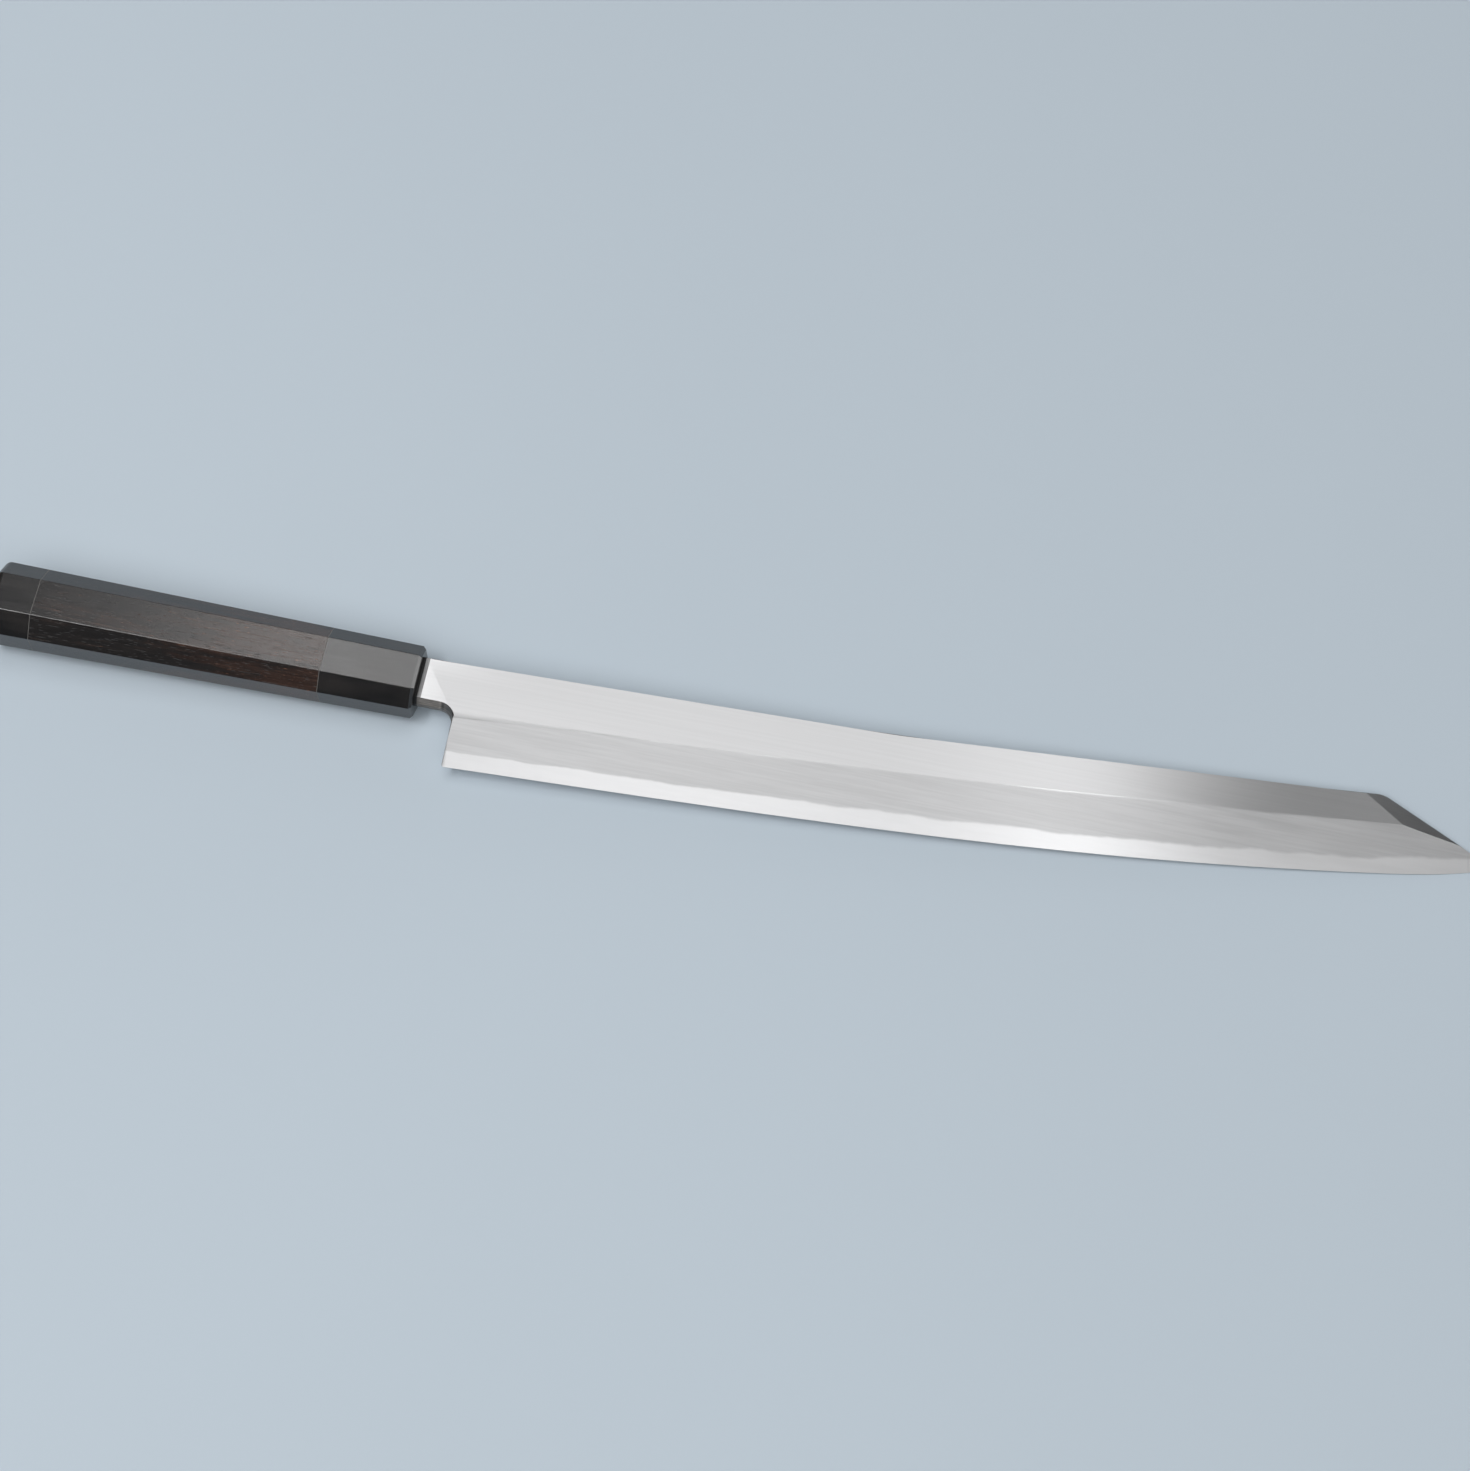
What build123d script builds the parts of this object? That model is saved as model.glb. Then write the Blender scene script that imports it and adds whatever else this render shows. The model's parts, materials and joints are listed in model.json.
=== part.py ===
from build123d import *
from math import atan2, cos, degrees, pi, sin, sqrt
import os

# Slicing knife with a laminated single-bevel blade and an octagonal handle, in millimetres.
# It is drawn in its own frame: X runs along the handle to the tip, with zero at the ferrule's
# front face, Y points to the spine, and Z out of the blade's front face. At the end it is laid
# down as it rests on a table, on the ferrule and the tip.

# Handle, an octagon that tapers from the butt to the ferrule
handle_length = 138.3
butt_width = 25.2
butt_thickness = 20.4
butt_corner_width = 6.4
butt_corner_height = 5.6
front_width = 22.0
front_thickness = 17.0
front_corner_width = 5.25
front_corner_height = 4.6
arris_radius = 0.35

# Horn ferrule and butt cap, and the glue between horn and wood
ferrule_length = 30.1
ferrule_rim_chamfer = 0.9
ferrule_front_wall = 6.0
cap_length = 14.5
cap_rim_radius = 2.5
cap_rim_stations = 10
glue_line = 0.2

# Dowels inside the handle
core_dowel_diameter = 13.0
core_dowel_past_tang = 5.0
wood_between_dowels = 13.0
cap_pin_diameter = 8.0
cap_pin_depth_in_cap = 8.0
cap_pin_depth_in_body = 12.0
dowel_clearance = 0.1
dowel_chamfer = 0.6

# Tang and the adhesive around it
tang_root_height = 9.5
tang_shoulder = 0.3
tang_end_height = 5.0
tang_end_thickness = 2.6
bedding_thickness = 0.35

# Neck and heel
seal_thickness = 0.7
neck_height = 15.2
neck_drop = 7.2
neck_thickness = 5.0
neck_chamfer_width = 1.3
neck_chamfer_depth = 2.8
neck_back_round = 0.5
heel_from_ferrule = 13.1
heel_drop = 18.3
heel_lean = 0.3
choil_radius = 4.7
choil_turn = 88.0

# Outline of the blade
blade_length = 328.3
clip_length = 37.0
clip_drop = 17.4
clip_corner_radius = 8.0
spine_rise = 16.4
spine_sag = 3.3
spine_round = 0.35

# Points of the edge's curve, as shares of its run and of its rise from heel to tip
edge_shares = ((0.326, 0.160), (0.678, 0.448), (0.887, 0.737), (0.954, 0.865))

# Grinds of the front: the flat thins towards the tip, and the bevel meets it at the ridge
clip_thickness = 2.3
edge_land = 0.15
ridge_drop = 16.6
ridge_over_tip = 12.0
ridge_sag = 3.0
facet_setback = 5.7
facet_reach = 7.0
facet_drop = 0.34
bevel_stations = 9

# Hard steel behind the soft iron
edge_steel_at_neck = 1.55
edge_steel_at_clip = 0.78
edge_steel_start = 3.0
edge_steel_scarf = 5.0

# Hollow ground into the back, inside a flat rim
hollow_rim = 1.6
hollow_depth = 0.35
hollow_heel_rim = 3.0
hollow_clip_rim = 4.0
hollow_stations = 9
hollow_end_width_share = 0.45
hollow_end_depth_share = 0.05
hollow_past_rim_share = 1.1

# How far every cut runs past what it cuts
overrun = 4.0

# Places that follow from the sizes
butt_x = -handle_length
ferrule_back_x = -ferrule_length
body_front_x = ferrule_back_x - glue_line
cap_front_x = butt_x + cap_length
body_back_x = cap_front_x + glue_line
core_front_x = -ferrule_front_wall
pin_back_x = cap_front_x - cap_pin_depth_in_cap
pin_front_x = body_back_x + cap_pin_depth_in_body
core_back_x = pin_front_x + wood_between_dowels
tang_back_x = core_back_x + core_dowel_past_tang
neck_bottom_y = -neck_drop
neck_top_y = neck_bottom_y + neck_height
heel_x = heel_from_ferrule
choil_x = heel_x - heel_lean
heel_y = neck_bottom_y - heel_drop
tip_x = heel_x + blade_length
clip_x = tip_x - clip_length
clip_y = neck_top_y + spine_rise
tip_y = clip_y - clip_drop
back_z = -neck_thickness / 2


def front_z(x):
    """Height of the blade's tapering front face."""
    return back_z + neck_thickness - (neck_thickness - clip_thickness) * x / clip_x


def weld_z(x):
    """Height of the weld between the hard steel and the soft iron."""
    return back_z + edge_steel_at_neck - (edge_steel_at_neck - edge_steel_at_clip) * x / clip_x


def across(x, y=0, z=0):
    """Plane square to the handle, with its own X towards the spine and Y to the front."""
    return Plane(origin=(x, y, z), x_dir=(0, 1, 0), z_dir=(1, 0, 0))


def octagon(x):
    """Section of the handle at a place along its taper, with sharp corners."""
    share = (x - butt_x) / handle_length
    side = (butt_width + (front_width - butt_width) * share) / 2
    top = (butt_thickness + (front_thickness - butt_thickness) * share) / 2
    flat = side - butt_corner_width - (front_corner_width - butt_corner_width) * share
    corner = top - butt_corner_height - (front_corner_height - butt_corner_height) * share
    half = [(side, -corner), (side, corner), (flat, top), (-flat, top)]
    other_half = [(-y, -z) for y, z in half]
    return make_face(Polyline(*half, *other_half, close=True))


def eased(x, section):
    """Section with its corners rounded, set at its place along the handle."""
    return across(x) * fillet(section.vertices(), arris_radius)


def drawn_in(x, inset):
    """Smaller section inside the handle's own, for a rim."""
    return eased(x, offset(octagon(x), -inset, kind=Kind.INTERSECTION))


def handle_blank():
    """Whole outside of the handle, before it is divided into cap, wood and ferrule."""
    behind_rim = eased(butt_x + cap_rim_radius, octagon(butt_x + cap_rim_radius))
    at_chamfer = eased(-ferrule_rim_chamfer, octagon(-ferrule_rim_chamfer))
    rim = []
    for station in range(cap_rim_stations):
        turn = pi / 2 * station / cap_rim_stations
        x = butt_x + cap_rim_radius * (1 - cos(turn))
        rim.append(drawn_in(x, cap_rim_radius * (1 - sin(turn))))
    rounded_end = loft([*rim, behind_rim], ruled=True)
    middle = loft([behind_rim, at_chamfer], ruled=True)
    front_end = loft([at_chamfer, drawn_in(0, ferrule_rim_chamfer)], ruled=True)
    return rounded_end + middle + front_end


def slab(start_x, end_x):
    """Block that takes a stretch of the handle."""
    reach = butt_width + butt_thickness
    return Pos((start_x + end_x) / 2, 0, 0) * Box(end_x - start_x, reach, reach)


def bore(start_x, end_x, diameter):
    """Round hole along the handle for a dowel."""
    section = across(start_x) * Circle(diameter / 2 + dowel_clearance)
    return extrude(section, end_x - start_x)


def dowel(start_x, end_x, diameter):
    """Round wooden dowel with eased ends that sits in its bore."""
    section = across(start_x + dowel_clearance) * Circle(diameter / 2)
    bar = extrude(section, end_x - start_x - 2 * dowel_clearance)
    return chamfer(bar.edges().filter_by(GeomType.CIRCLE), dowel_chamfer)


def tang_shape(front_x, margin):
    """Tapering tang, or with a margin the slot that it is bedded in."""
    back_x = tang_back_x - margin
    root_thickness = neck_thickness - 2 * tang_shoulder
    front = Rectangle(tang_root_height + 2 * margin, root_thickness + 2 * margin)
    back = Rectangle(tang_end_height + 2 * margin, tang_end_thickness + 2 * margin)
    return loft([across(back_x) * back, across(front_x) * front], ruled=True)


def edge_curve():
    """Cutting edge from heel to tip."""
    run = tip_x - heel_x
    rise = tip_y - heel_y
    between = [(heel_x + run * along, heel_y + rise * up) for along, up in edge_shares]
    return Spline((heel_x, heel_y), *between, (tip_x, tip_y))


def spine_curve():
    """Spine from the blade's shoulder to the clipped corner."""
    middle = ((seal_thickness + clip_x) / 2, (neck_top_y + clip_y) / 2 - spine_sag)
    return ThreePointArc((seal_thickness, neck_top_y), middle, (clip_x, clip_y))


def ridge_curve():
    """Ridge between the flat and the bevel, from above the heel to above the tip."""
    start_y = neck_top_y - ridge_drop
    end_y = tip_y + ridge_over_tip
    middle = ((heel_x + tip_x) / 2, (start_y + end_y) / 2 - ridge_sag)
    return ThreePointArc((heel_x, start_y), middle, (tip_x, end_y))


def height_at(curve, x):
    """Y of a curve where it passes a given X."""
    line = Line((x, heel_y - overrun), (x, clip_y + overrun))
    return curve.find_intersection_points(line)[0].Y


def blade_outline():
    """Outline of the blade ahead of its shoulder."""
    neck_end = Vector(choil_x - choil_radius, neck_bottom_y)
    centre = neck_end - Vector(0, choil_radius)
    choil_middle = centre + Vector(0, choil_radius).rotate(Axis.Z, -choil_turn / 2)
    choil_end = centre + Vector(0, choil_radius).rotate(Axis.Z, -choil_turn)
    outline = make_face([
        spine_curve(),
        Line((clip_x, clip_y), (tip_x, tip_y)),
        edge_curve(),
        Line((heel_x, heel_y), choil_end),
        ThreePointArc(choil_end, choil_middle, neck_end),
        Line(neck_end, (seal_thickness, neck_bottom_y)),
        Line((seal_thickness, neck_bottom_y), (seal_thickness, neck_top_y)),
    ])
    corner = outline.vertices().sort_by_distance((clip_x, clip_y, 0))[0]
    return fillet(corner, clip_corner_radius)


def front_plane():
    """Plane of the blade's front face, facing outwards."""
    start = Vector(0, 0, front_z(0))
    along = Vector(clip_x, 0, front_z(clip_x)) - start
    return Plane(origin=start, x_dir=along, z_dir=along.cross(Vector(0, 1, 0)))


def facet_plane():
    """Plane of the clip's facet, through its ends on the spine and the ridge, facing outwards."""
    start_x = clip_x - facet_setback
    ridge_x = clip_x + facet_reach
    on_spine = Vector(start_x, height_at(spine_curve(), start_x), front_z(start_x))
    on_ridge = Vector(ridge_x, height_at(ridge_curve(), ridge_x), front_z(ridge_x))
    at_corner = Vector(clip_x, clip_y, front_z(clip_x) - facet_drop)
    outwards = (on_spine - at_corner).cross(on_ridge - at_corner)
    return Plane(origin=at_corner, x_dir=on_ridge - at_corner, z_dir=outwards)


def bevel_cutter():
    """Everything above the bevel, whose ruled surface is carried past ridge and edge."""
    ridge = ridge_curve()
    edge = edge_curve()
    upper = []
    lower = []
    for station in range(bevel_stations):
        share = station / (bevel_stations - 1)
        on_ridge = ridge @ share
        on_edge = edge @ share
        high = Vector(on_ridge.X, on_ridge.Y, front_z(on_ridge.X))
        low = Vector(on_edge.X, on_edge.Y, back_z + edge_land)
        past = (high - low).normalized() * overrun
        upper.append(high + past)
        lower.append(low - past)
    bevel = Face.make_surface_from_curves(Spline(*upper), Spline(*lower))
    return extrude(bevel, neck_thickness + overrun, dir=(0, 0, 1))


def hollow_section(x, fade):
    """Flat arc across the back, narrower and shallower where the hollow fades."""
    low = height_at(edge_curve(), x) + hollow_rim
    high = height_at(spine_curve(), x) - hollow_rim
    width_share = hollow_end_width_share + (1 - hollow_end_width_share) * fade
    depth_share = hollow_end_depth_share + (1 - hollow_end_depth_share) * fade
    reach = (high - low) / 2 * width_share * hollow_past_rim_share
    depth = hollow_depth * depth_share
    sink = depth * (hollow_past_rim_share**2 - 1)
    arc = ThreePointArc((-reach, -sink), (0, depth), (reach, -sink))
    return across(x, (low + high) / 2, back_z) * make_face([arc, Line(arc @ 1, arc @ 0)])


def hollow_cutter():
    """Shallow hollow of the back, with its sections closer together near the ends."""
    start_x = heel_x + hollow_heel_rim
    end_x = clip_x - hollow_clip_rim
    sections = []
    for station in range(hollow_stations):
        from_middle = -cos(pi * station / (hollow_stations - 1))
        x = (start_x + end_x) / 2 + (end_x - start_x) / 2 * from_middle
        fade = sqrt(1 - from_middle**6)
        sections.append(hollow_section(x, fade))
    return loft(sections)


def rim_edges(solid, plane, is_wanted):
    """Edges of a solid that lie in a plane, picked by where their middles lie."""
    rim = []
    for edge in solid.edges():
        heights = [plane.to_local_coords(edge @ share).Z for share in (0, 0.5, 1)]
        if max(map(abs, heights)) < edge_land and is_wanted(edge @ 0.5):
            rim.append(edge)
    return rim


def under_neck(at):
    """Whether a point of the outline is on the neck's lower side, in the choil or above the heel."""
    return at.X < heel_x and at.Y < neck_bottom_y + neck_back_round


def ground_blade():
    """Blade ahead of its shoulder with all its grinds, before steel and iron are told apart."""
    front = front_plane()
    back = Plane.XY.offset(back_z)
    blade = extrude(Pos(0, 0, back_z) * blade_outline(), neck_thickness + overrun)
    blade = split(blade, front, keep=Keep.BOTTOM)
    flat = blade.faces().sort_by(Axis.Z)[-1]
    neck_edges = rim_edges(blade, front, under_neck)
    blade = chamfer(neck_edges, neck_chamfer_width, neck_chamfer_depth, reference=flat)
    blade = fillet(rim_edges(blade, back, under_neck), neck_back_round)
    spine_edges = rim_edges(blade, front, lambda at: at.Y > neck_top_y and at.X < clip_x - facet_setback)
    blade = fillet(spine_edges, spine_round)
    blade -= bevel_cutter()
    blade = split(blade, facet_plane(), keep=Keep.BOTTOM)
    return blade - hollow_cutter()


def steel_zone():
    """Block behind the weld, which starts in a scarf under the neck."""
    scarf_x = edge_steel_start + edge_steel_scarf
    far_x = tip_x + overrun
    deep_z = back_z - overrun
    points = [
        (edge_steel_start, deep_z),
        (edge_steel_start, back_z),
        (scarf_x, weld_z(scarf_x)),
        (far_x, weld_z(far_x)),
        (far_x, deep_z),
    ]
    side = Plane.XZ.offset(-clip_y - overrun) * make_face(Polyline(*points, close=True))
    return extrude(side, clip_y - heel_y + 2 * overrun)


def laid_down(pieces):
    """Tips the knife onto ferrule and tip, with the origin under its middle."""
    rim_share = ferrule_rim_chamfer / handle_length
    rim_z = -(front_thickness + (butt_thickness - front_thickness) * rim_share) / 2
    tilt = atan2(back_z - rim_z, tip_x + ferrule_rim_chamfer)
    tipped = {name: Rot(0, degrees(tilt), 0) * piece for name, piece in pieces.items()}
    box = Compound(list(tipped.values())).bounding_box()
    place = Pos(-box.center().X, -box.center().Y, -box.min.Z)
    return {name: place * piece for name, piece in tipped.items()}


handle = handle_blank()
blade = ground_blade()
steel = steel_zone()
tang = tang_shape(seal_thickness, 0)
slot = tang_shape(0, bedding_thickness)
core_bore = bore(core_back_x, core_front_x, core_dowel_diameter)
pin_bore = bore(pin_back_x, pin_front_x, cap_pin_diameter)
shoulder = blade.faces().sort_by(Axis.X)[0]

knife = {
    "blade_cladding": blade - steel + tang,
    "blade_edge_steel": blade & steel,
    "mouth_seal": extrude(shoulder, seal_thickness, dir=(-1, 0, 0)) - tang,
    "tang_bedding": slot - tang,
    "core_dowel": dowel(core_back_x, core_front_x, core_dowel_diameter) - slot,
    "ferrule": (handle & slab(ferrule_back_x, overrun)) - core_bore - slot,
    "ferrule_glue_line": (handle & slab(body_front_x, ferrule_back_x)) - core_bore,
    "handle_body": (handle & slab(body_back_x, body_front_x)) - core_bore - pin_bore,
    "cap_glue_line": (handle & slab(cap_front_x, body_back_x)) - pin_bore,
    "cap_pin": dowel(pin_back_x, pin_front_x, cap_pin_diameter),
    "butt_cap": (handle & slab(butt_x - overrun, cap_front_x)) - pin_bore,
}

os.makedirs("parts", exist_ok=True)
for name, piece in laid_down(knife).items():
    export_step(piece, f"parts/{name}.step")
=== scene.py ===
import json
from math import asin, cos, pi, radians, sin

import bpy
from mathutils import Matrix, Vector


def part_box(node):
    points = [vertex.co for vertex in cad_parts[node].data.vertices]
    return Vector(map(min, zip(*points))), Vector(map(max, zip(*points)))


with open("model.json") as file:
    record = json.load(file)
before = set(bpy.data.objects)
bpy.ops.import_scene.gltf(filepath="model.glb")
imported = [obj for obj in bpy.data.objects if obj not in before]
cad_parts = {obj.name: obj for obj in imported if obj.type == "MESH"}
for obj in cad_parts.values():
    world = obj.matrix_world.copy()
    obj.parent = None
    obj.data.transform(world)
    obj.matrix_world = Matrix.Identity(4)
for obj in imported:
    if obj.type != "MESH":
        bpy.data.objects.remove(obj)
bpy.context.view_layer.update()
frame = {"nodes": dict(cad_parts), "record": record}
nodes = frame["nodes"]
mounts = {mount["name"]: mount for mount in frame["record"]["mounts"]}

# The knife's own frame, in millimetres: X from the ferrule's face to the tip, Y to the spine and
# Z out of the blade's front. Every pattern in the materials is placed in it.
MM = 0.001
NECK_THICKNESS = 5.0
CLIP_X = 304.4
EDGE_STEEL_AT_NECK = 1.55
EDGE_STEEL_AT_CLIP = 0.78
BACK_Z = -NECK_THICKNESS / 2
RIDGE_POINTS = ((13.1, -8.6), (177.25, 2.2), (341.4, 19.0))

# Where the finish of the blade changes
POLISH_START_X = 1.85
CHOIL_END_X = 14.0
CHOIL_TOP_Y = -5.6
CHOIL_END_Y = -15.0
# Height of the honed edge, which is painted bright as a painted highlight
EDGE_HIGHLIGHT_HEIGHT = 0.07
HOLLOW_EDGE_DEPTH = 0.02

# Wood of the handle, from its darker end to its redder end
WOOD_DARK_X = -124.0
WOOD_RED_X = -36.0

# How deep the marks of each surface are
STEEL_RELIEF = 0.001 * MM
HORN_RELIEF = 0.004 * MM
WOOD_RELIEF = 0.012 * MM
DOWEL_RELIEF = 0.03 * MM
RESIN_RELIEF = 0.02 * MM

# Camera
IMAGE_WIDTH = 1470
FOCAL_PIXELS = 3064
SENSOR_WIDTH = 36.0
CAMERA_AZIMUTH = 11.299
CAMERA_ELEVATION = 67.593
CAMERA_TARGET = Vector((-0.00076, 0.00591, 0.0))
PIXELS_PER_MM = 3.1539

# Light: softboxes hang level over the knife, panels stand round it on the floor. Each has its
# centre, its two sides in metres and the brightness of its face.
BOX_HEIGHT = 2.4
SOFTBOXES = {
    "back_strip": ((-0.55, 0.8), (0.1, 1.2), 9.0),
    "back_middle": ((-0.175, 0.8), (0.65, 1.2), 1.85),
    "back_right": ((0.275, 0.8), (0.25, 1.2), 2.3),
    "back_far": ((0.75, 0.8), (0.3, 1.2), 0.65),
    "front_left": ((-0.9, -0.4), (0.4, 1.2), 15.0),
    "front_middle": ((-0.1, -0.4), (0.4, 1.2), 1.1),
    "front_right": ((0.4, -0.4), (0.2, 1.2), 3.0),
    "near": ((0.0, -2.0), (6.0, 2.0), 1.35),
}
PANEL_DISTANCE = 3.0
PANEL_HEIGHT = 0.8
PANELS = {
    "left": ((-1.0, 0.0), 4.0, 2.5),
    "back": ((0.0, 1.0), 5.0, 1.2),
    "right": ((0.925, 0.38), 1.2, 3.5),
}
WORLD_COLOUR = (0.85, 0.95, 1.0)
WORLD_STRENGTH = 0.03
BACKDROP_STRENGTH = 0.6

FLOOR_SIZE = 2 * PANEL_DISTANCE
FLOOR_COLOUR = (0.605, 0.69, 0.765)
FLOOR_MOTTLE = 0.3


def knife_frame():
    """Tilt of the knife and the place of its own origin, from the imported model."""
    back = mounts["back_rim"]
    tilt = asin(-back["axis"][0])
    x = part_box("mouth_seal")[0].x + NECK_THICKNESS / 2 * MM * sin(tilt)
    low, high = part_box("handle_body")
    y = (low.y + high.y) / 2
    drop = sin(tilt) * (back["pos_m"][0] - x) - BACK_Z * MM
    z = back["pos_m"][2] + drop / cos(tilt)
    return tilt, Vector((x, y, z))


def circle_through(first, second, third):
    """Centre and radius of the circle through three points of the XY plane."""
    (ax, ay), (bx, by), (cx, cy) = first, second, third
    spread = 2 * (ax * (by - cy) + bx * (cy - ay) + cx * (ay - by))
    a, b, c = ax**2 + ay**2, bx**2 + by**2, cx**2 + cy**2
    x = (a * (by - cy) + b * (cy - ay) + c * (ay - by)) / spread
    y = (a * (cx - bx) + b * (ax - cx) + c * (bx - ax)) / spread
    return (x, y), ((ax - x) ** 2 + (ay - y) ** 2) ** 0.5


TILT, ORIGIN = knife_frame()
RIDGE_CENTRE, RIDGE_RADIUS = circle_through(*RIDGE_POINTS)


class Graph:
    """One material's node tree, with a short call for each kind of node."""

    def __init__(self, name):
        self.material = bpy.data.materials.new(name)
        self.material.use_nodes = True
        self.tree = self.material.node_tree
        self.tree.nodes.clear()
        self.output = self.tree.nodes.new("ShaderNodeOutputMaterial")

    def add(self, kind, inputs, output=0, **settings):
        """Adds a node, sets it up and gives one of its outputs."""
        node = self.tree.nodes.new("ShaderNode" + kind)
        for name, value in settings.items():
            setattr(node, name, value)
        for socket, value in inputs.items():
            if isinstance(value, bpy.types.NodeSocket):
                self.tree.links.new(value, node.inputs[socket])
            else:
                node.inputs[socket].default_value = value
        return node.outputs[output]

    def math(self, operation, *values):
        return self.add("Math", dict(enumerate(values)), operation=operation)

    def vector(self, operation, *values, output=0):
        return self.add("VectorMath", dict(enumerate(values)), output, operation=operation)

    def knife_point(self):
        """Place on the knife, in millimetres of its own frame."""
        at = self.add("TexCoord", {}, "Object")
        turn = {"Vector": at, "Location": ORIGIN, "Rotation": (0, TILT, 0), "Scale": (MM, MM, MM)}
        return self.add("Mapping", turn, vector_type="TEXTURE")

    def parts(self, vector):
        node = self.tree.nodes.new("ShaderNodeSeparateXYZ")
        self.tree.links.new(vector, node.inputs[0])
        return node.outputs

    def noise(self, at, size, detail=2.0, roughness=0.5, distortion=0.0):
        """Noise whose features have the given size along each axis, in the point's own unit."""
        scaled = self.vector("DIVIDE", at, size)
        inputs = {"Vector": scaled, "Scale": 1.0, "Detail": detail, "Roughness": roughness}
        return self.add("TexNoise", {**inputs, "Distortion": distortion}, "Fac")

    def ramp(self, value, low, high, to_low=0.0, to_high=1.0):
        """Smooth step from one value to another."""
        inputs = {0: value, 1: low, 2: high, 3: to_low, 4: to_high}
        return self.add("MapRange", inputs, interpolation_type="SMOOTHSTEP")

    def both(self, *masks):
        """Where all the masks hold."""
        held = masks[0]
        for mask in masks[1:]:
            held = self.math("MULTIPLY", held, mask)
        return held

    def mix(self, share, first, second):
        inputs = {"Factor": share, "A": first, "B": second}
        sockets = {"Factor": 0, "A": 6, "B": 7}
        return self.add("Mix", {sockets[k]: v for k, v in inputs.items()}, 2, data_type="RGBA")

    def blend(self, share, first, second):
        return self.add("Mix", {0: share, 2: first, 3: second}, 0, data_type="FLOAT")

    def bump(self, height, distance):
        return self.add("Bump", {"Height": height, "Distance": distance})

    def finish(self, **inputs):
        """Ends in one principled shader."""
        named = {name.replace("_", " "): value for name, value in inputs.items()}
        shader = self.add("BsdfPrincipled", named)
        self.tree.links.new(shader, self.output.inputs["Surface"])
        return self.material


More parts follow.
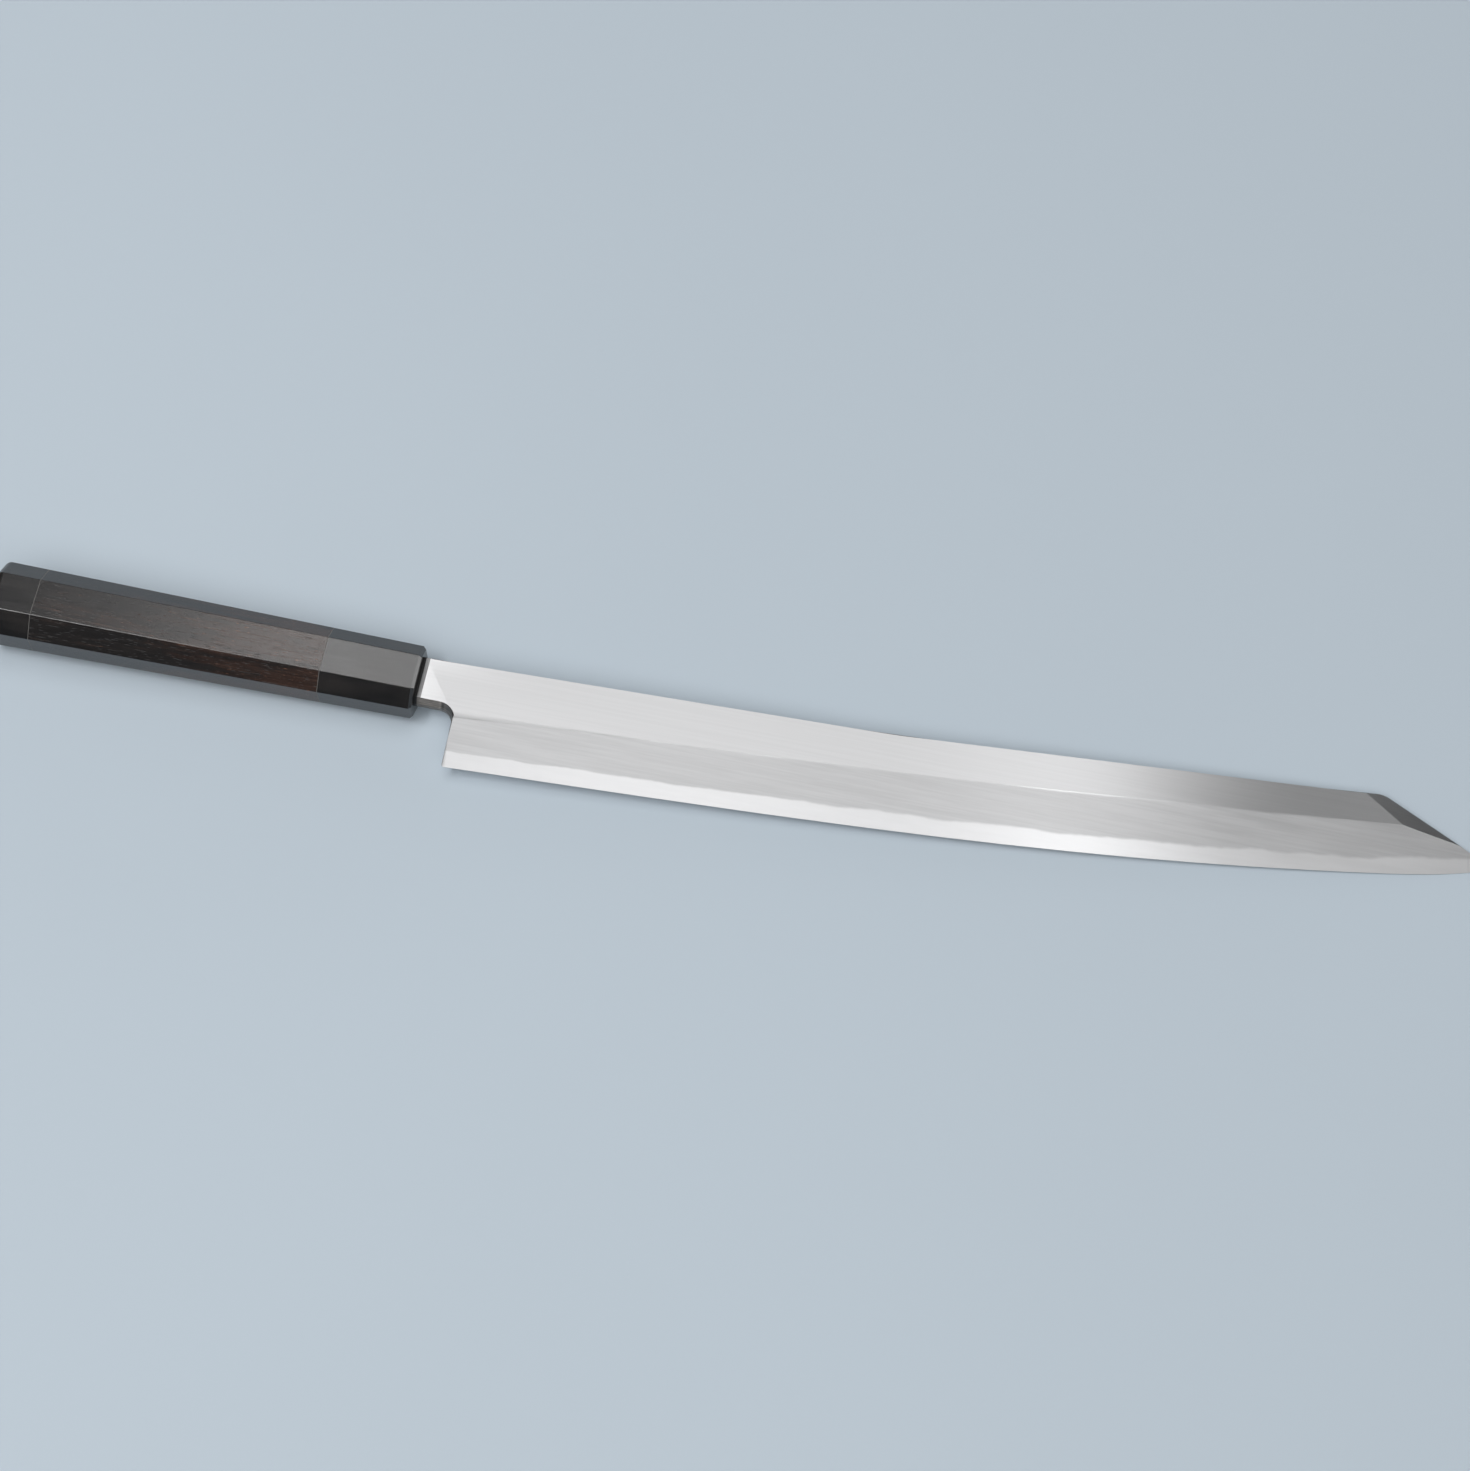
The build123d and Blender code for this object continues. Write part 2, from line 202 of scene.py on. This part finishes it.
def blade_steel(name):
    """Laminated blade: satin flat, hazy bevel, and bright hard steel along the edge."""
    g = Graph(name)
    at = g.knife_point()
    x, y, z = g.parts(at)
    facing = g.parts(g.add("TexCoord", {}, "Normal"))
    ny, nz = facing[1], facing[2]

    # Places: how far past the ridge, how far above the weld and above the back
    flat_at = g.add("CombineXYZ", {0: x, 1: y, 2: 0.0})
    from_centre = g.vector("DISTANCE", flat_at, (*RIDGE_CENTRE, 0), output="Value")
    past_ridge = g.math("SUBTRACT", from_centre, RIDGE_RADIUS)
    thinning = (EDGE_STEEL_AT_NECK - EDGE_STEEL_AT_CLIP) / CLIP_X
    weld = g.math("MULTIPLY_ADD", x, -thinning, BACK_Z + EDGE_STEEL_AT_NECK)
    above_weld = g.math("SUBTRACT", z, weld)
    above_back = g.math("SUBTRACT", z, BACK_Z)
    waves = g.noise(at, (16.0, 16.0, 16.0), detail=3.0, roughness=0.6)
    above_line = g.math("ADD", above_weld, g.math("MULTIPLY_ADD", waves, 0.45, -0.225))
    softness = g.noise(at, (22.0, 5.0, 5.0), detail=2.0)
    past_line = g.math("ADD", past_ridge, g.math("MULTIPLY_ADD", softness, 1.2, -0.6))

    on_front = g.ramp(nz, 0.5, 0.8)
    on_back = g.ramp(nz, -0.5, -0.8)
    off_facet = g.ramp(ny, 0.06, 0.03)
    on_bevel = g.both(on_front, off_facet, g.ramp(past_line, -0.3, 0.5))
    spine_painted_dark = g.ramp(ny, 0.25, 0.5)
    in_steel = g.both(on_bevel, g.ramp(above_line, 0.12, -0.06))
    edge_highlight = g.both(on_bevel, g.ramp(above_back, EDGE_HIGHLIGHT_HEIGHT * 1.4, EDGE_HIGHLIGHT_HEIGHT * 0.6))
    in_hollow = g.both(on_back, g.ramp(above_back, HOLLOW_EDGE_DEPTH * 0.5, HOLLOW_EDGE_DEPTH * 1.5))
    in_choil = g.both(
        g.ramp(x, CHOIL_END_X + 0.4, CHOIL_END_X - 0.4),
        g.ramp(y, CHOIL_TOP_Y + 0.3, CHOIL_TOP_Y - 0.1),
        g.ramp(y, CHOIL_END_Y - 1.5, CHOIL_END_Y + 1.5),
        g.ramp(nz, 0.93, 0.80),
        g.ramp(nz, -0.35, -0.15),
    )
    unpolished = g.ramp(x, POLISH_START_X + 0.1, POLISH_START_X - 0.1)
    polish_line = g.ramp(g.math("ABSOLUTE", g.math("SUBTRACT", x, POLISH_START_X)), 0.28, 0.05)

    # Marks of the stones: clouds, streaks and scratches run lengthwise, in the choil they follow
    # its wall, and in the hollow of the back they run across
    clouds = g.noise(at, (34.0, 3.2, 3.2), detail=4.0, roughness=0.6)
    streaks = g.noise(at, (70.0, 0.75, 0.75), detail=2.0)
    scratches = g.noise(at, (36.0, 0.30, 0.30), detail=1.0)
    filed = g.noise(at, (7.0, 7.0, 0.28), detail=3.0, roughness=0.7)
    crossed = g.noise(at, (0.9, 14.0, 14.0), detail=3.0, roughness=0.65)
    matt = g.noise(at, (1.1, 1.6, 1.6), detail=4.0, roughness=0.65)

    haze_streaks = g.ramp(streaks, 0.3, 0.7, -0.02, 0.02)
    flat_tone = g.ramp(streaks, 0.25, 0.75, 0.625, 0.655)
    haze_tone = g.math("ADD", g.ramp(clouds, 0.25, 0.75, 0.60, 0.68), haze_streaks)
    steel_tone = g.ramp(clouds, 0.2, 0.8, 0.84, 0.90)
    back_tone = g.ramp(clouds, 0.2, 0.8, 0.70, 0.76)
    hollow_tone = g.ramp(crossed, 0.25, 0.75, 0.56, 0.64)
    file_tone = g.ramp(filed, 0.3, 0.7, 0.16, 0.34)
    matt_tone = g.blend(polish_line, g.ramp(matt, 0.3, 0.7, 0.34, 0.42), 0.16)
    tone = g.blend(on_bevel, flat_tone, haze_tone)
    tone = g.blend(in_steel, tone, steel_tone)
    # The honed edge gets a fixed bright tone: a painted highlight along the edge
    tone = g.blend(edge_highlight, tone, 0.88)
    tone = g.blend(on_back, tone, back_tone)
    tone = g.blend(in_hollow, tone, hollow_tone)
    # The spine is painted a dark tone: a painted shade along its rounding
    tone = g.blend(spine_painted_dark, tone, 0.24)
    tone = g.blend(unpolished, tone, matt_tone)
    tone = g.blend(in_choil, tone, file_tone)
    silver = g.vector("MULTIPLY", tone, (0.99, 0.99, 1.0))
    browned = g.vector("MULTIPLY", tone, (1.0, 0.93, 0.87))
    colour = g.mix(in_choil, silver, browned)

    coarse = g.math("MAXIMUM", in_choil, unpolished)
    rough = g.ramp(streaks, 0.2, 0.8, 0.275, 0.285)
    rough = g.blend(on_bevel, rough, g.ramp(clouds, 0.2, 0.8, 0.30, 0.36))
    rough = g.blend(in_steel, rough, g.ramp(clouds, 0.2, 0.8, 0.28, 0.32))
    rough = g.blend(on_back, rough, g.ramp(clouds, 0.2, 0.8, 0.24, 0.28))
    rough = g.blend(in_hollow, rough, g.ramp(crossed, 0.2, 0.8, 0.34, 0.42))
    rough = g.blend(coarse, rough, g.ramp(matt, 0.2, 0.8, 0.38, 0.48))

    haze = g.math("MULTIPLY", on_bevel, g.blend(in_steel, 1.0, 0.8))
    metal = g.blend(unpolished, g.ramp(haze, 0.0, 1.0, 1.0, 0.5), 0.6)

    relief = g.math("MULTIPLY_ADD", streaks, 0.5, scratches)
    relief = g.blend(in_choil, relief, g.math("MULTIPLY", filed, 9.0))
    relief = g.blend(in_hollow, relief, g.math("MULTIPLY", crossed, 3.6))
    across = g.add("CombineXYZ", {0: 0.0, 1: 1.0, 2: 0.0})
    return g.finish(
        Base_Color=colour,
        Metallic=metal,
        Roughness=rough,
        Anisotropic=1.0,
        Tangent=across,
        Normal=g.bump(relief, STEEL_RELIEF),
    )


def black_horn(name):
    """Polished buffalo horn, nearly black, with faint lengthwise fibres."""
    g = Graph(name)
    at = g.knife_point()
    fibres = g.noise(at, (42.0, 0.34, 0.34), detail=4.0, roughness=0.6)
    layers = g.noise(at, (60.0, 1.8, 1.8), detail=3.0, distortion=0.2)
    clouds = g.noise(at, (18.0, 5.0, 5.0), detail=3.0)
    depth = g.math("ADD", g.ramp(clouds, 0.35, 0.8), g.ramp(layers, 0.55, 0.7, 0.0, 0.4))
    colour = g.mix(depth, (0.006, 0.006, 0.0068, 1), (0.020, 0.017, 0.016, 1))
    rough = g.math("ADD", g.ramp(fibres, 0.25, 0.75, 0.19, 0.24), g.ramp(clouds, 0.3, 0.7, 0.0, 0.02))
    nx = g.parts(g.add("TexCoord", {}, "Normal"))[0]
    rough = g.blend(g.ramp(g.math("ABSOLUTE", nx), 0.85, 0.95), rough, 0.12)
    normal = g.bump(fibres, HORN_RELIEF)
    return g.finish(Base_Color=colour, Roughness=rough, IOR=1.6, Specular_IOR_Level=0.7, Normal=normal)


def dark_wood(name):
    """Oiled ebony with reddish streaks, fine grain and open pores."""
    g = Graph(name)
    at = g.knife_point()
    x = g.parts(at)[0]
    bands = g.noise(at, (60.0, 3.4, 5.0), detail=4.0, roughness=0.6, distortion=0.5)
    patches = g.noise(at, (14.0, 3.0, 3.0), detail=4.0, roughness=0.6, distortion=0.6)
    grain = g.noise(at, (16.0, 0.40, 0.40), detail=4.0, roughness=0.65)
    flecks = g.noise(at, (2.6, 0.6, 0.6), detail=2.0, roughness=0.6)
    pores = g.noise(at, (3.2, 0.20, 0.20), detail=1.0)
    along = g.ramp(x, WOOD_DARK_X, WOOD_RED_X, -0.10, 0.05)
    spread = g.math("ADD", g.math("MULTIPLY", bands, 0.6), g.math("MULTIPLY", patches, 0.4))
    red = g.math("ADD", spread, along)
    in_grain = g.both(g.ramp(grain, 0.5, 0.8), g.ramp(red, 0.36, 0.56, 0.25, 1.0))
    in_fleck = g.both(g.ramp(flecks, 0.64, 0.74), g.ramp(red, 0.40, 0.55))
    open_pore = g.ramp(pores, 0.66, 0.74)
    base = g.mix(g.ramp(red, 0.42, 0.60), (0.0085, 0.007, 0.007, 1), (0.036, 0.0165, 0.011, 1))
    lined = g.mix(in_grain, base, (0.085, 0.046, 0.031, 1))
    flecked = g.mix(in_fleck, lined, (0.15, 0.075, 0.048, 1))
    colour = g.mix(open_pore, flecked, (0.004, 0.003, 0.003, 1))
    rough = g.math("ADD", g.ramp(grain, 0.2, 0.8, 0.20, 0.28), g.ramp(open_pore, 0.0, 1.0, 0.0, 0.15))
    relief = g.math("MULTIPLY_ADD", open_pore, -1.0, g.math("MULTIPLY", grain, 0.4))
    normal = g.bump(relief, WOOD_RELIEF)
    return g.finish(Base_Color=colour, Roughness=rough, IOR=1.6, Specular_IOR_Level=0.65, Normal=normal)


def pale_wood(name):
    """Bare pale wood of the dowels."""
    g = Graph(name)
    at = g.knife_point()
    rings = g.noise(at, (60.0, 1.4, 4.0), detail=4.0, distortion=0.3)
    grain = g.noise(at, (9.0, 0.2, 0.2), detail=3.0)
    colour = g.mix(g.ramp(rings, 0.35, 0.7), (0.62, 0.47, 0.30, 1), (0.46, 0.31, 0.18, 1))
    rough = g.ramp(grain, 0.2, 0.8, 0.62, 0.75)
    normal = g.bump(grain, DOWEL_RELIEF)
    return g.finish(Base_Color=colour, Roughness=rough, Normal=normal)


def cured_resin(name, dark, pale, roughness):
    """Cured glue or filler with small tone changes and a faint grain."""
    g = Graph(name)
    at = g.knife_point()
    patches = g.noise(at, (1.6, 1.6, 1.6), detail=4.0)
    colour = g.mix(g.ramp(patches, 0.3, 0.7), dark, pale)
    rough = g.ramp(patches, 0.3, 0.7, roughness - 0.05, roughness + 0.05)
    normal = g.bump(patches, RESIN_RELIEF)
    return g.finish(Base_Color=colour, Roughness=rough, Normal=normal)


def floor_material():
    """Smooth painted board."""
    g = Graph("floor_board")
    at = g.add("TexCoord", {}, "Object")
    mottle = g.noise(at, (FLOOR_MOTTLE, FLOOR_MOTTLE, FLOOR_MOTTLE), detail=3.0)
    r, green, b = FLOOR_COLOUR
    lighter = (r * 1.015, green * 1.015, b * 1.015, 1)
    colour = g.mix(g.ramp(mottle, 0.3, 0.7), (r, green, b, 1), lighter)
    return g.finish(Base_Color=colour, Roughness=0.75, Specular_IOR_Level=0.2)


def dress(names, material):
    """Gives CAD nodes their finish."""
    for name in names:
        slots = nodes[name].material_slots
        for slot in slots:
            slot.material = material


def make_floor():
    half = FLOOR_SIZE / 2
    mesh = bpy.data.meshes.new("floor")
    corners = [(-half, -half, 0), (half, -half, 0), (half, half, 0), (-half, half, 0)]
    mesh.from_pydata(corners, [], [(0, 1, 2, 3)])
    floor = bpy.data.objects.new("floor", mesh)
    floor.data.materials.append(floor_material())
    bpy.context.scene.collection.objects.link(floor)


def aim(thing, direction):
    thing.rotation_mode = "QUATERNION"
    thing.rotation_quaternion = direction.to_track_quat("-Z", "Y")


def soft_light(name, centre, sides, facing, brightness):
    """Evenly bright rectangle, which faces one way."""
    lamp = bpy.data.lights.new(name, "AREA")
    lamp.shape = "RECTANGLE"
    lamp.size, lamp.size_y = sides
    lamp.energy = brightness * pi * sides[0] * sides[1]
    softbox = bpy.data.objects.new(name, lamp)
    softbox.location = centre
    aim(softbox, facing)
    bpy.context.scene.collection.objects.link(softbox)


def make_lights():
    for name, (centre, sides, brightness) in SOFTBOXES.items():
        soft_light("softbox_" + name, Vector((*centre, BOX_HEIGHT)), sides, Vector((0, 0, -1)), brightness)
    for name, (side, width, brightness) in PANELS.items():
        outward = Vector((*side, 0))
        centre = outward * PANEL_DISTANCE + Vector((0, 0, PANEL_HEIGHT / 2))
        soft_light("panel_" + name, centre, (width, PANEL_HEIGHT), -outward, brightness)


def make_world():
    """Faint light from all round; the camera alone sees it as a pale backdrop."""
    world = bpy.data.worlds.new("studio")
    world.use_nodes = True
    tree = world.node_tree
    seen = tree.nodes.new("ShaderNodeLightPath").outputs["Is Camera Ray"]
    strength = tree.nodes.new("ShaderNodeMath")
    strength.operation = "MULTIPLY_ADD"
    strength.inputs[1].default_value = BACKDROP_STRENGTH - WORLD_STRENGTH
    strength.inputs[2].default_value = WORLD_STRENGTH
    tree.links.new(seen, strength.inputs[0])
    background = tree.nodes["Background"]
    background.inputs["Color"].default_value = (*WORLD_COLOUR, 1)
    tree.links.new(strength.outputs[0], background.inputs["Strength"])
    bpy.context.scene.world = world


def make_camera():
    azimuth = radians(CAMERA_AZIMUTH)
    elevation = radians(CAMERA_ELEVATION)
    back = Vector((sin(azimuth) * cos(elevation), -cos(azimuth) * cos(elevation), sin(elevation)))
    distance = FOCAL_PIXELS / PIXELS_PER_MM * MM
    data = bpy.data.cameras.new("camera")
    data.sensor_fit = "HORIZONTAL"
    data.sensor_width = SENSOR_WIDTH
    data.lens = SENSOR_WIDTH * FOCAL_PIXELS / IMAGE_WIDTH
    camera = bpy.data.objects.new("camera", data)
    camera.location = CAMERA_TARGET + back * distance
    aim(camera, -back)
    bpy.context.scene.collection.objects.link(camera)
    bpy.context.scene.camera = camera


blade = blade_steel("laminated_steel")
horn = black_horn("buffalo_horn")
wood = dark_wood("ebony")
dowels = pale_wood("dowel_wood")
glue = cured_resin("glue", (0.10, 0.095, 0.09, 1), (0.17, 0.16, 0.15, 1), 0.5)
seal = cured_resin("seal", (0.010, 0.010, 0.011, 1), (0.026, 0.025, 0.026, 1), 0.5)

dress(["blade_cladding", "blade_edge_steel"], blade)
dress(["ferrule", "butt_cap"], horn)
dress(["handle_body"], wood)
dress(["core_dowel", "cap_pin"], dowels)
dress(["tang_bedding", "ferrule_glue_line", "cap_glue_line"], glue)
dress(["mouth_seal"], seal)

make_floor()
make_lights()
make_world()
make_camera()

bpy.context.scene.view_settings.view_transform = "Standard"
